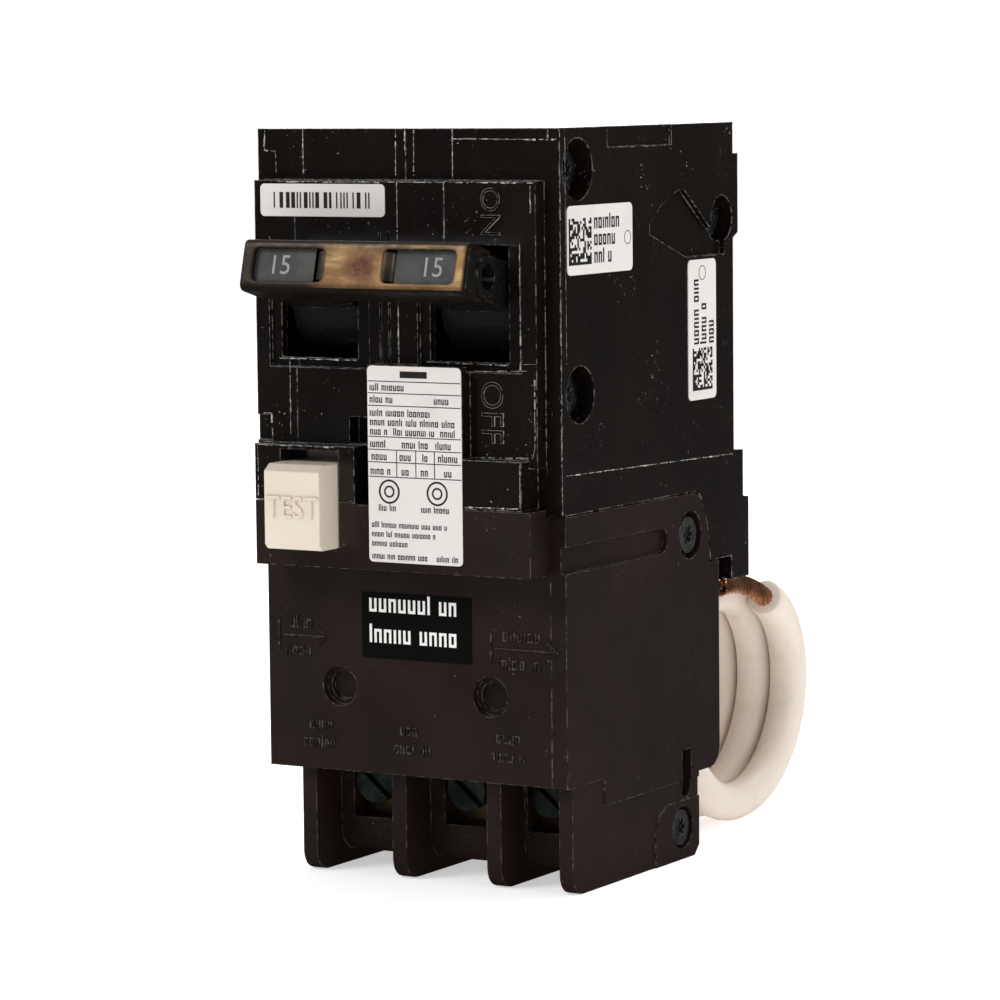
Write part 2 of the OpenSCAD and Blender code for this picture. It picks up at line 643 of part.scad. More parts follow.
// Label on the right side
module side_label(y0, y1, z0, z1, r)
  placed() translate([half_w, y0, z0]) rotate([90, 0, 90])
    rounded_plate(y1 - y0, z1 - z0, label_t, r);
module serial_label() color("white") front_label(-23.2, -2, 97, 101.7, -escutcheon_out, 0.7);
module rating_label() color("white") front_label(-3.9, 11.7, 47.7, 75.9, -ledge_out, 0.7);
module neutral_label() color([0.05, 0.05, 0.05]) front_label(-8.9, 9.6, 32.8, 42.4, load_front_y, 0.2);
module code_label() color("white") side_label(1.9, 21.1, 88.8, 98.6, 0.9);
module strip_label() color("white") side_label(38.3, 47.2, 68.5, 89.4, 0.9);

// ---- neutral pigtail ----
module pigtail_lead() color([0.93, 0.90, 0.85]) placed() swept_tube(lead_route, wire_d, 12, [1, 0, 0]);
module pigtail_coil() color([0.93, 0.90, 0.85]) placed()
  translate([(coil_start_x + coil_end_x) / 2, coil_y, coil_z]) rotate([0, 90, 0])
    rotate_extrude($fn = 64)
      translate([coil_r - wire_d / 2, -(coil_turns * coil_pitch + wire_d) / 2])
        square([wire_d, coil_turns * coil_pitch + wire_d]);
module pigtail_strands() color([0.62, 0.34, 0.20]) placed()
  swept_tube(strand_route, strand_d, 8, [1, 0, 0]);

left_case();
left_cover();
right_case();
right_cover();
load_housing();
load_cover();
case_screws();
handle_left();
handle_right();
handle_tie();
test_button();
test_spring();
test_contact();
contact_arm_left();
contact_arm_right();
line_jaw_left();
line_jaw_right();
arc_chute_left();
arc_chute_right();
latch_lever_left();
latch_lever_right();
trip_bar();
bimetal_left();
bimetal_right();
magnet_yoke_left();
magnet_yoke_right();
pivot_pins();
circuit_board();
current_sensor();
solenoid_coil();
solenoid_plunger();
lead_left();
lead_right();
lead_neutral();
load_lugs();
clamp_screw_left();
clamp_screw_neutral();
clamp_screw_right();
clamp_pad_left();
clamp_pad_neutral();
clamp_pad_right();
serial_label();
rating_label();
neutral_label();
code_label();
strip_label();
pigtail_lead();
pigtail_coil();
pigtail_strands();
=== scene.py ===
import json
import math
import random

import bmesh
import bpy
from mathutils import Matrix, Vector


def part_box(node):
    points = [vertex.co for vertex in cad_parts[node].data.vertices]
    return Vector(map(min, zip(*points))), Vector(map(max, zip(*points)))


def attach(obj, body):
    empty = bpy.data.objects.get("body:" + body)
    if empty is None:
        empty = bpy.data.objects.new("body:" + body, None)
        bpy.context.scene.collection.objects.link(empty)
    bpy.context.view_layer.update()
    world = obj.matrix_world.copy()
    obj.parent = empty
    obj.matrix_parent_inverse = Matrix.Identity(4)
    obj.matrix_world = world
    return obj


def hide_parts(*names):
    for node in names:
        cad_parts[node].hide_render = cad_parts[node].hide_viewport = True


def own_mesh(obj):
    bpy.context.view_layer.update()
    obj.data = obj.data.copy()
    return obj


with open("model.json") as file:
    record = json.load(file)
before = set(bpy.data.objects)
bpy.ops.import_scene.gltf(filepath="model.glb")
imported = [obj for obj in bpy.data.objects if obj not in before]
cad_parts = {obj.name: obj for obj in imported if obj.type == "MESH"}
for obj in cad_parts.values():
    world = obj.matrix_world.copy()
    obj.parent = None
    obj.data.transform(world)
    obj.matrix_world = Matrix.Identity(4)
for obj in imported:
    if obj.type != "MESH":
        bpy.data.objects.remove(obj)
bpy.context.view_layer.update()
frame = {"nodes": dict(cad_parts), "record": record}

NODES = frame["nodes"]
MM = 0.001
# Lengths are millimetres in the CAD's case frame, whose Y starts at the body's plain front face, but for
# those of materials and lights, which are metres.
# The raised escutcheon, the ledge below it and the brown load end each have their own front.
ESCUTCHEON_Y, LEDGE_Y, BROWN_Y = -2.5, -4.8, 0.9
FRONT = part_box("load_cover")[0].y - BROWN_Y * MM
HALF_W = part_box("load_cover")[1].x / MM
HANDLE_ON = math.radians(15)
PIVOT = (8.2, 84.9)
TIE_REACH = 21.9

X, Y, Z = Vector((1, 0, 0)), Vector((0, 1, 0)), Vector((0, 0, 1))
# Directions of the handles at rest: out through the tie's face, and up along it
TIE_OUT = Vector((0, -math.cos(HANDLE_ON), math.sin(HANDLE_ON)))
TIE_UP = Vector((0, math.sin(HANDLE_ON), math.cos(HANDLE_ON)))


def case(x, y, z):
    """A point of the case frame, in millimetres, as a point of the scene, in metres."""
    return Vector((x * MM, y * MM + FRONT, z * MM))


def tie_point(x, u, w):
    """A point x across, u out from the handles' pivot and w up the tie, in millimetres."""
    return case(x, *PIVOT) + (TIE_OUT * u + TIE_UP * w) * MM


# ---- camera, as fitted to the photograph ----
CAMERA_AT = (317.4, -517.4, 117.9)
CAMERA_TURN = (30.30, 5.70, -0.59)
CAMERA_LENS, CAMERA_SHIFT = 152.5, -0.0083


def make_camera():
    yaw, pitch, roll = (math.radians(angle) for angle in CAMERA_TURN)
    level = math.cos(pitch)
    ahead = Vector((-math.sin(yaw) * level, math.cos(yaw) * level, -math.sin(pitch)))
    side = Vector((math.cos(yaw), math.sin(yaw), 0))
    up = side.cross(ahead)
    right = math.cos(roll) * side + math.sin(roll) * up
    top = -math.sin(roll) * side + math.cos(roll) * up
    data = bpy.data.cameras.new("camera")
    data.sensor_width = 36
    data.lens = CAMERA_LENS
    data.shift_y = CAMERA_SHIFT
    camera = bpy.data.objects.new("camera", data)
    place = Matrix((right, top, -ahead)).transposed().to_4x4()
    place.translation = case(*CAMERA_AT)
    camera.matrix_world = place
    bpy.context.scene.collection.objects.link(camera)
    bpy.context.scene.camera = camera


make_camera()


# ---- mesh helpers ----
def link_object(name, data):
    obj = bpy.data.objects.new(name, data)
    bpy.context.scene.collection.objects.link(obj)
    return obj


def add_object(name, verts, faces, material, smooth=False):
    mesh = bpy.data.meshes.new(name)
    mesh.from_pydata([tuple(v) for v in verts], [], faces)
    mesh.validate()
    mesh.update()
    for poly in mesh.polygons:
        poly.use_smooth = smooth
    if material:
        mesh.materials.append(material)
    return link_object(name, mesh)


def finish_piece(obj, body="root"):
    """Say which body a piece rides on."""
    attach(obj, body)
    return obj


def frames_along(points, guide):
    """At each point: the point, and two directions square to the path."""
    out = []
    for i, p in enumerate(points):
        ahead = (points[min(i + 1, len(points) - 1)] - points[max(i - 1, 0)]).normalized()
        a = ahead.cross(guide).normalized()
        out.append((p, a, ahead.cross(a).normalized()))
    return out


def tube_data(points, radii, sides, guide, base=0):
    """Vertices and faces of a closed tube whose radius may change along it."""
    verts, faces = [], []
    for (p, a, b), r in zip(frames_along(points, guide), radii):
        for k in range(sides):
            t = 2 * math.pi * k / sides
            verts.append(p + r * (math.cos(t) * a + math.sin(t) * b))
    n = len(points)
    for i in range(n - 1):
        for k in range(sides):
            m = (k + 1) % sides
            faces.append([base + i * sides + k, base + i * sides + m,
                          base + (i + 1) * sides + m, base + (i + 1) * sides + k])
    faces.append([base + k for k in range(sides - 1, -1, -1)])
    faces.append([base + (n - 1) * sides + k for k in range(sides)])
    return verts, faces


# ---- node material helpers ----
class Nodes:
    """A new material with its shader, and short calls for the nodes that shape it."""

    def __init__(self, name):
        self.mat = bpy.data.materials.new(name)
        self.mat.use_nodes = True
        self.tree = self.mat.node_tree
        self.shader = next(n for n in self.tree.nodes if n.type == "BSDF_PRINCIPLED")
        self.coord = self.tree.nodes.new("ShaderNodeTexCoord")

    def link(self, a, b):
        self.tree.links.new(a, b)

    def new(self, kind, **settings):
        node = self.tree.nodes.new(kind)
        for key, value in settings.items():
            setattr(node, key, value)
        return node

    def noise(self, scale, detail=4, rough=0.55, stretch=(1, 1, 1)):
        mapping = self.new("ShaderNodeMapping")
        mapping.inputs["Scale"].default_value = stretch
        self.link(self.coord.outputs["Object"], mapping.inputs["Vector"])
        node = self.new("ShaderNodeTexNoise")
        node.inputs["Scale"].default_value = scale
        node.inputs["Detail"].default_value = detail
        node.inputs["Roughness"].default_value = rough
        self.link(mapping.outputs["Vector"], node.inputs["Vector"])
        return node.outputs["Fac"]

    def ramp(self, value, low, high, out_low=0.0, out_high=1.0):
        node = self.new("ShaderNodeMapRange", interpolation_type="SMOOTHSTEP")
        node.inputs["From Min"].default_value = low
        node.inputs["From Max"].default_value = high
        node.inputs["To Min"].default_value = out_low
        node.inputs["To Max"].default_value = out_high
        self.link(value, node.inputs["Value"])
        return node.outputs["Result"]

    def math(self, operation, a, b):
        node = self.new("ShaderNodeMath", operation=operation)
        for socket, value in zip(node.inputs, (a, b)):
            if isinstance(value, (int, float)):
                socket.default_value = value
            else:
                self.link(value, socket)
        return node.outputs[0]

    def mix(self, factor, a, b):
        node = self.new("ShaderNodeMix", data_type="RGBA")
        self.link(factor, node.inputs["Factor"])
        for name, value in (("A", a), ("B", b)):
            socket = next(s for s in node.inputs if s.name == name and s.type == "RGBA")
            if isinstance(value, tuple):
                socket.default_value = (*value, 1)
            else:
                self.link(value, socket)
        return next(s for s in node.outputs if s.type == "RGBA")

    def edges(self, radius):
        """1 on the sharp edges of the mesh, 0 on its flats."""
        bevel = self.new("ShaderNodeBevel", samples=4)
        bevel.inputs["Radius"].default_value = radius
        geometry = self.new("ShaderNodeNewGeometry")
        dot = self.new("ShaderNodeVectorMath", operation="DOT_PRODUCT")
        self.link(bevel.outputs["Normal"], dot.inputs[0])
        self.link(geometry.outputs["True Normal"], dot.inputs[1])
        return self.math("SUBTRACT", 1.0, dot.outputs["Value"]), bevel.outputs["Normal"]

    def wear(self, edge, start):
        """Wear on the edges, broken up by noise that begins at start."""
        return self.math("MULTIPLY", self.ramp(edge, 0.02, 0.16),
                         self.ramp(self.noise(900, 6, 0.7), start, start + 0.12))

    def along(self, output, direction):
        """The texture coordinates called output, measured along a direction."""
        node = self.new("ShaderNodeVectorMath", operation="DOT_PRODUCT")
        self.link(self.coord.outputs[output], node.inputs[0])
        node.inputs[1].default_value = tuple(direction)
        return node.outputs["Value"]

    def distance(self, point):
        """How far the surface is from a point."""
        node = self.new("ShaderNodeVectorMath", operation="DISTANCE")
        self.link(self.coord.outputs["Object"], node.inputs[0])
        node.inputs[1].default_value = tuple(point)
        return node.outputs["Value"]

    def bump(self, height, strength, distance, normal=None):
        node = self.new("ShaderNodeBump")
        node.inputs["Strength"].default_value = strength
        node.inputs["Distance"].default_value = distance
        self.link(height, node.inputs["Height"])
        if normal is not None:
            self.link(normal, node.inputs["Normal"])
        self.link(node.outputs["Normal"], self.shader.inputs["Normal"])

    def set(self, **values):
        for key, value in values.items():
            socket = self.shader.inputs[key.replace("_", " ")]
            if isinstance(value, tuple):
                socket.default_value = (*value, 1)
            elif isinstance(value, (int, float)):
                socket.default_value = value
            else:
                self.link(value, socket)


def moulded(name, base, dark, edge_wear_and_highlight, rough, edge_radius, edge_wear_and_highlight_at, grain=(0.06, 0.00004),
            specks=True, gloss=0.5):
    """Moulded plastic: mottled colour, pale edges, dust specks and a fine grain. The pale edges are wear, and
    on the brown case and the ON and OFF letters also a painted highlight.
    """
    n = Nodes(name)
    cloud = n.noise(55, 5)
    colour = n.mix(n.ramp(cloud, 0.35, 0.65), dark, base)
    edge, rounded = n.edges(edge_radius)
    # worn marks the pale edges: wear, and on the brown case and the ON and OFF letters also painted highlight
    worn = n.wear(edge, edge_wear_and_highlight_at)
    colour = n.mix(worn, colour, edge_wear_and_highlight)
    if specks:
        dust = n.math("MULTIPLY", n.ramp(n.noise(2600, 2, 0.5), 0.71, 0.74),
                      n.ramp(n.noise(120, 3), 0.5, 0.62))
        colour = n.mix(dust, colour, edge_wear_and_highlight)
    smear = n.ramp(n.noise(140, 6, 0.6, (1, 1, 0.35)), 0.3, 0.75, rough - 0.07, rough + 0.1)
    n.set(Base_Color=colour, Roughness=n.math("ADD", smear, n.math("MULTIPLY", worn, 0.3)),
          Specular_IOR_Level=gloss)
    n.bump(n.noise(1800, 4, 0.6), *grain, rounded)
    return n.mat


def metal(name, bright, dull, rough, metallic=1.0, brush=(1, 1, 1), edge_radius=0.00012):
    """Plated or bare metal: tarnish in clouds, fine brushing, worn bright edges."""
    n = Nodes(name)
    tarnish = n.ramp(n.noise(260, 5, 0.65), 0.35, 0.68)
    edge, rounded = n.edges(edge_radius)
    colour = n.mix(tarnish, bright, dull)
    polished = tuple(min(1.0, c * 1.15) for c in bright)
    colour = n.mix(n.ramp(edge, 0.03, 0.25), colour, polished)
    n.set(Base_Color=colour, Metallic=metallic,
          Roughness=n.ramp(n.noise(700, 4, 0.6, brush), 0.3, 0.7, rough - 0.06, rough + 0.12))
    n.bump(n.noise(2200, 4, 0.6, brush), 0.12, 0.00003, rounded)
    return n.mat


def insulation(name, base, stain, rough=0.32, glow=0.0):
    """Extruded wire insulation with faint handling marks."""
    n = Nodes(name)
    mark = n.ramp(n.noise(160, 6, 0.62), 0.5, 0.8)
    colour = n.mix(mark, base, stain)
    n.set(Base_Color=colour,
          Roughness=n.ramp(n.noise(420, 4), 0.3, 0.75, rough - 0.05, rough + 0.12),
          Subsurface_Weight=glow, Subsurface_Scale=0.0015)
    n.bump(n.noise(900, 3), 0.08, 0.00004)
    return n.mat


def paper(name, base, stain, gloss=0.4):
    """Printed label stock, a little soiled, with a fine fibre bump."""
    n = Nodes(name)
    colour = n.mix(n.ramp(n.noise(90, 5), 0.48, 0.78), base, stain)
    n.set(Base_Color=colour, Roughness=n.ramp(n.noise(300, 3), 0.3, 0.7, 0.42, 0.56),
          Specular_IOR_Level=gloss)
    n.bump(n.noise(2400, 3), 0.1, 0.00002)
    return n.mat


TIE_STAIN = (0.4, -12.6, 90.0)


def tie_finish():
    """Bronze-finished steel, dark with patina at its bends and painted dark as shade on its flanges and left
    end, with a stain between the windows.
    """
    n = Nodes("bronze_steel")
    edge, rounded = n.edges(0.0007)
    clouds = n.noise(210, 7, 0.68)
    streaks = n.noise(520, 4, 0.6, (0.25, 1, 1))
    bronze = n.mix(n.ramp(clouds, 0.36, 0.66), (0.34, 0.195, 0.075), (0.20, 0.105, 0.038))
    bronze = n.mix(n.ramp(streaks, 0.52, 0.72), bronze, (0.50, 0.31, 0.14))
    # the left end is painted nearly black as shade, the top of the face is nearly black too, and a red-brown
    # stain sits in the middle
    from_left = n.math("ADD", n.along("Object", X), n.math("MULTIPLY", clouds, 0.004))
    bronze = n.mix(n.ramp(from_left, -0.0075, -0.0010, 1.0, 0.0), bronze, (0.034, 0.022, 0.013))
    level = tie_point(0, 0, 0).dot(TIE_UP)
    height = n.math("ADD", n.along("Object", TIE_UP), n.math("MULTIPLY", clouds, 0.003))
    upper = n.ramp(height, level + 0.0028, level + 0.0050, 0.0, 0.85)
    bronze = n.mix(upper, bronze, (0.050, 0.032, 0.019))
    near = n.ramp(n.distance(case(*TIE_STAIN)), 0.0009, 0.0036, 1.0, 0.0)
    bronze = n.mix(n.math("MULTIPLY", near, n.ramp(clouds, 0.3, 0.6)), bronze, (0.085, 0.022, 0.010))
    # bends are dark with patina, faces turned away from the front, the flanges among them, are painted dark
    # as shade, and the very edges are rubbed bright
    flange_shade = n.ramp(n.along("Normal", TIE_OUT), 0.80, 0.97, 1.0, 0.0)
    patina_and_flange_shade = n.math("MAXIMUM", n.ramp(edge, 0.004, 0.07), flange_shade)
    patina_and_flange_shade = n.math("MULTIPLY", patina_and_flange_shade, n.ramp(n.noise(900, 5, 0.7), 0.25, 0.45, 0.8, 1.0))
    colour = n.mix(patina_and_flange_shade, bronze, (0.016, 0.011, 0.007))
    rim = n.math("MULTIPLY", n.ramp(edge, 0.16, 0.30), n.ramp(n.noise(1200, 4, 0.7), 0.5, 0.62))
    colour = n.mix(rim, colour, (0.55, 0.36, 0.18))
    n.set(Base_Color=colour, Metallic=0.5,
          Roughness=n.ramp(n.noise(600, 5, 0.6), 0.3, 0.7, 0.30, 0.50))
    n.bump(n.noise(1500, 5, 0.6), 0.14, 0.00004, rounded)
    return n.mat


def handle_plastic():
    """Black plastic, matt on the face behind the tie's windows, where it is painted a lighter grey as light.
    """
    n = Nodes("handle_black")
    # one plastic in two colours by which way it faces: painted lighter grey as light on the face behind the
    # windows, near black on the drum and sides
    face = n.ramp(n.along("Normal", TIE_OUT), 0.985, 0.995)
    cloud = n.noise(300, 5, 0.65)
    painted_light_grey = n.mix(n.ramp(cloud, 0.35, 0.65), (0.060, 0.060, 0.056), (0.044, 0.044, 0.042))
    edge, rounded = n.edges(0.0002)
    colour = n.mix(n.wear(edge, 0.52), n.mix(face, (0.0085, 0.0078, 0.0068), painted_light_grey), SCUFF)
    matt = n.math("MULTIPLY", face, 0.26)
    n.set(Base_Color=colour, Roughness=n.math("ADD", n.ramp(cloud, 0.3, 0.7, 0.20, 0.30), matt),
          Specular_IOR_Level=0.4)
    n.bump(n.noise(1800, 4, 0.6), 0.12, 0.00006, rounded)
    return n.mat


def scuffs():
    """Pale dusty wear along moulded edges."""
    n = Nodes("edge_scuff")
    colour = n.mix(n.ramp(n.noise(1400, 5, 0.7), 0.4, 0.62), (0.075, 0.070, 0.064), (0.50, 0.48, 0.45))
    n.set(Base_Color=colour, Roughness=n.ramp(n.noise(700, 3), 0.3, 0.7, 0.55, 0.75))
    return n.mat


def ink(name, base, worn):
    """Printed marks, thinner in places."""
    n = Nodes(name)
    colour = n.mix(n.ramp(n.noise(1500, 4, 0.6), 0.55, 0.75), base, worn)
    n.set(Base_Color=colour, Roughness=n.ramp(n.noise(800, 3), 0.3, 0.7, 0.45, 0.6))
    return n.mat


SCUFF = (0.36, 0.345, 0.32)
MATERIALS = {
    "black_case": moulded("black_case", (0.0078, 0.0052, 0.0038), (0.0052, 0.0035, 0.0026), SCUFF,
                          0.24, 0.00026, 0.45, gloss=0.40),
    # the brown case's pale edges are partly wear and partly a painted highlight along its edges
    "brown_case": moulded("brown_case", (0.0205, 0.0108, 0.0078), (0.0150, 0.0081, 0.0060),
                          (0.20, 0.165, 0.145), 0.36, 0.00028, 0.47, (0.10, 0.00006), gloss=0.40),
    "handle_black": handle_plastic(),
    "bronze_steel": tie_finish(),
    "cream_plastic": moulded("cream_plastic", (0.76, 0.68, 0.565), (0.72, 0.64, 0.52), (0.80, 0.74, 0.64),
                             0.34, 0.00045, 0.4, (0.05, 0.00004), specks=False),
    "screw_steel": metal("screw_steel", (0.40, 0.41, 0.41), (0.16, 0.165, 0.17), 0.24),
    "zinc_screw": metal("zinc_screw", (0.15, 0.19, 0.175), (0.055, 0.075, 0.068), 0.30),
    "plated_steel": metal("plated_steel", (0.56, 0.56, 0.55), (0.36, 0.36, 0.36), 0.32),
    "copper": metal("copper", (0.80, 0.40, 0.21), (0.48, 0.20, 0.10), 0.28),
    "bimetal": metal("bimetal", (0.62, 0.55, 0.40), (0.44, 0.38, 0.28), 0.34),
    "lug_brass": metal("lug_brass", (0.62, 0.47, 0.24), (0.38, 0.27, 0.13), 0.32),
    "tan_plastic": moulded("tan_plastic", (0.60, 0.52, 0.38), (0.52, 0.44, 0.31), (0.70, 0.64, 0.52),
                           0.45, 0.0002, 0.5, specks=False),
    "board_green": moulded("board_green", (0.02, 0.14, 0.05), (0.015, 0.10, 0.04), (0.40, 0.42, 0.36),
                           0.30, 0.0001, 0.5, specks=False),
    "sensor_yellow": moulded("sensor_yellow", (0.55, 0.42, 0.08), (0.44, 0.33, 0.06), (0.66, 0.58, 0.30),
                             0.45, 0.0002, 0.5, specks=False),
    "black_insulation": insulation("black_insulation", (0.018, 0.018, 0.018), (0.035, 0.034, 0.032)),
    "red_insulation": insulation("red_insulation", (0.42, 0.022, 0.016), (0.30, 0.02, 0.015)),
    "white_insulation": insulation("white_insulation", (0.79, 0.695, 0.61), (0.69, 0.59, 0.50), 0.33, 0.12),
    "label_white": paper("label_white", (0.71, 0.67, 0.635), (0.64, 0.60, 0.565)),
    "label_black": paper("label_black", (0.0035, 0.0030, 0.0027), (0.0060, 0.0052, 0.0046), 0.15),
}
# the raised ON and OFF letters: their pale edges are partly wear and partly a painted highlight on the
# letters' top and bottom edges
LETTER_WEAR_AND_HIGHLIGHT = moulded("letter_wear_and_highlight", (0.0052, 0.0046, 0.0042), (0.0034, 0.0030, 0.0028),
                      (0.50, 0.48, 0.45), 0.26, 0.00016, 0.36, gloss=0.4)
CREAM_LETTER = moulded("cream_letter", (0.73, 0.65, 0.53), (0.70, 0.61, 0.50), (0.78, 0.72, 0.61),
                       0.36, 0.00008, 0.4, (0.04, 0.00003), specks=False)
BLACK_INK = ink("black_ink", (0.012, 0.012, 0.012), (0.06, 0.06, 0.06))
WHITE_INK = ink("white_ink", (0.86, 0.85, 0.82), (0.62, 0.61, 0.58))
GREY_INK = ink("grey_ink", (0.30, 0.30, 0.29), (0.16, 0.16, 0.155))
FAINT_INK = ink("faint_ink", (0.56, 0.51, 0.46), (0.68, 0.62, 0.55))
SCUFF_MAT = scuffs()
# the tie's tabs, of its bronze steel, coloured dark as painted shade where they bend in behind the windows
TAB_PAINTED_SHADE = metal("tab_painted_shade", (0.10, 0.075, 0.055), (0.03, 0.022, 0.016), 0.30, metallic=0.6)

for part in frame["record"]["subparts"]:
    node = NODES[part["node"]]
    node.data.materials.clear()
    node.data.materials.append(MATERIALS[part["material_slot"]])


# ---- neutral pigtail: route in millimetres of the case frame, as in the CAD ----
WIRE_R = 2.9
COIL_R, COIL_TURNS, COIL_PITCH = 16.4, 4.44, 5.9
COIL_Y, COIL_END_X = 69.0, 19.3
COIL_Z = COIL_R + WIRE_R + 0.1
COIL_START_X = COIL_END_X - COIL_TURNS * COIL_PITCH
# (y, z) along the straight lead, which leaves the housing at HOUSING_EXIT
HOUSING_EXIT = (41.1, 6.4)
LEAD_ROUTE = [(34.5, 6.4), (37, 6.4), (39, 6.4), HOUSING_EXIT, (44, 6.4), (46, 6.25), (48, 6.0), (50, 5.55),
              (52, 5.0), (54, 4.5), (56, 4.0), (58, 3.55), (60, 3.25), (62, 3.08), (64, 3.0), (66.5, 3.0)]
HELIX_START, TURN_STEPS = -90.0, 48
WIRE_SIDES, CUT_ROUNDING = 28, 0.35
STRAND_ROUTE = [(19.3, 74.6, 34.8), (19.3, 70.4, 36.6), (19.2, 66, 37.8), (19, 62, 38.2), (18.8, 59.5, 38.2)]
STRAND_R, STRAND_SIDES, STRANDS_HIDDEN = 0.31, 8, 0.8
# distance of each layer of strands from the middle one, and how many it has
STRAND_LAYERS = ((0.0, 1), (0.62, 6), (1.24, 12))


def helix_point(angle_deg):
    """The wire's middle at an angle of the coil, counted on from HELIX_START."""
    a = math.radians(angle_deg)
    x = COIL_START_X + COIL_PITCH * (angle_deg - HELIX_START) / 360
    return case(x, COIL_Y + COIL_R * math.cos(a), COIL_Z + COIL_R * math.sin(a))


def smooth_path(points, per_span):
    """Catmull-Rom curve through the points."""
    out = []
    for i in range(len(points) - 1):
        p0, p1 = points[max(i - 1, 0)], points[i]
        p2, p3 = points[i + 1], points[min(i + 2, len(points) - 1)]
        for k in range(per_span):
            t = k / per_span
            out.append(0.5 * ((2 * p1) + (p2 - p0) * t + (2 * p0 - 5 * p1 + 4 * p2 - p3) * t * t
                              + (3 * p1 - p0 - 3 * p2 + p3) * t ** 3))
    out.append(points[-1])
    return out


def make_pigtail():
    lead = [case(COIL_START_X, y, z) for y, z in LEAD_ROUTE]
    steps = int(COIL_TURNS * TURN_STEPS)
    coil = [helix_point(HELIX_START + 360 * COIL_TURNS * i / steps) for i in range(steps + 1)]
    path = lead + coil
    radii = [WIRE_R * MM] * len(path)
    # the cut end is very slightly rounded
    path.append(path[-1] + (path[-1] - path[-2]).normalized() * CUT_ROUNDING * MM)
    radii.append((WIRE_R - CUT_ROUNDING) * MM)
    verts, faces = tube_data(path, radii, WIRE_SIDES, X)
    wire = add_object("pigtail_wire", verts, faces, MATERIALS["white_insulation"], smooth=True)
    finish_piece(wire)
    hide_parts("pigtail_lead", "pigtail_coil")

    # the strands twist together, start inside the insulation and fray over their last part
    core = smooth_path([case(*p) for p in STRAND_ROUTE], 8)
    core = [core[0] - (core[1] - core[0]).normalized() * STRANDS_HIDDEN * MM] + core
    ring = frames_along(core, X)
    verts, faces = [], []
    local = random.Random(7)
    for radius, count in STRAND_LAYERS:
        for k in range(count):
            line = []
            phase = 2 * math.pi * k / count + local.uniform(-0.08, 0.08)
            wander = local.uniform(-0.5, 0.5)
            for i, (p, a, b) in enumerate(ring):
                u = i / (len(ring) - 1)
                spread = radius * (1 + 0.22 * max(0.0, u - 0.55) / 0.45)
                t = phase + 2.4 * math.pi * u + wander * max(0.0, u - 0.7)
                line.append(p + spread * MM * (math.cos(t) * a + math.sin(t) * b))
            line = line[:len(line) - local.randrange(0, 4)]
            v, f = tube_data(line, [STRAND_R * MM] * len(line), STRAND_SIDES, X, len(verts))
            verts += v
            faces += f
    strands = add_object("pigtail_strand_bundle", verts, faces, MATERIALS["copper"], smooth=True)
    finish_piece(strands)
    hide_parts("pigtail_strands")


make_pigtail()


# ---- flat marks: printing, moulded lettering, scuffs ----
class Sheet:
    """Collects thin marks on one face. Points are (across, up) in millimetres, laid by place()."""

    def __init__(self, place, thick=0.03):
        self.place, self.thick = place, thick
        self.verts, self.faces = [], []

    def poly(self, outline):
        base = len(self.verts)
        n = len(outline)
        self.verts += [self.place(u, v, 0.0) for u, v in outline]
        self.verts += [self.place(u, v, self.thick) for u, v in outline]
        self.faces.append([base + n + k for k in range(n)])
        self.faces.append([base + k for k in range(n - 1, -1, -1)])
        for k in range(n):
            m = (k + 1) % n
            self.faces.append([base + k, base + m, base + n + m, base + n + k])

    def bar(self, u0, u1, v0, v1):
        self.poly([(u0, v0), (u1, v0), (u1, v1), (u0, v1)])

    def ring(self, u, v, r, w, steps=40):
        for k in range(steps):
            a, b = 2 * math.pi * k / steps, 2 * math.pi * (k + 1) / steps
            self.poly([(u + (r - w) * math.cos(a), v + (r - w) * math.sin(a)),
                       (u + r * math.cos(a), v + r * math.sin(a)),
                       (u + r * math.cos(b), v + r * math.sin(b)),
                       (u + (r - w) * math.cos(b), v + (r - w) * math.sin(b))])

    def words(self, u0, u1, v0, v1, rng, turned=False):
        """Random letter-like strokes in groups, which stand for a line of print and spell nothing."""
        height = v1 - v0
        low = height * 0.74
        stem = height * 0.15
        u = u0
        left = rng.randrange(3, 8)
        while u + height * 0.5 < u1:
            if left == 0:
                u += height * 0.42
                left = rng.randrange(3, 8)
                continue
            kind = rng.choice("ilnuonu")
            wide = height * (0.15 if kind in "il" else 0.46)
            top = v0 + (height if kind == "l" else low)
            marks = [(u, u + stem, v0, top)]
            if kind in "nuo":
                marks.append((u + wide - stem, u + wide, v0, top))
            if kind in "no":
                marks.append((u + stem, u + wide - stem, top - stem, top))
            if kind in "uo":
                marks.append((u + stem, u + wide - stem, v0, v0 + stem))
            for a, b, c, d in marks:
                if turned:
                    self.bar(v1 + v0 - d, v1 + v0 - c, a, b)
                else:
                    self.bar(a, b, c, d)
            u += wide + height * 0.15
            left -= 1

    def add_to(self, verts, faces):
        """Put this sheet's marks into lists that several sheets share."""
        faces += [[i + len(verts) for i in face] for face in self.faces]
        verts += self.verts

    def code(self, u0, v0, side, cells, rng):
        """A random chequered block."""
        s = side / cells
        for i in range(cells):
            for j in range(cells):
                if rng.random() < 0.52 or i == 0 or j == 0:
                    self.bar(u0 + i * s, u0 + (i + 1) * s, v0 + j * s, v0 + (j + 1) * s)

    def build(self, name, material, body="root"):
        return finish_piece(add_object(name, self.verts, self.faces, material), body)


def front_place(y):
    """Across is X and up is Z, on a face that looks forward at y."""
    return lambda u, v, t: case(u, y - t, v)


def side_place(x):
    """Across is Y and up is Z, on a face that looks right at x."""
    return lambda u, v, t: case(x + t, u, v)


# ---- handle tie ----
TIE_X = (-19.7, 17.3)
TIE_T, TIE_HALF = 0.8, 3.8
TIE_BACK = 15.4
TIE_BEND, TIE_EDGE = 1.1, 0.16
TIE_WINDOWS = ((-17.9, -6.0), (4.0, 15.6))
WINDOW_HALF, WINDOW_CORNER = 2.4, 0.8
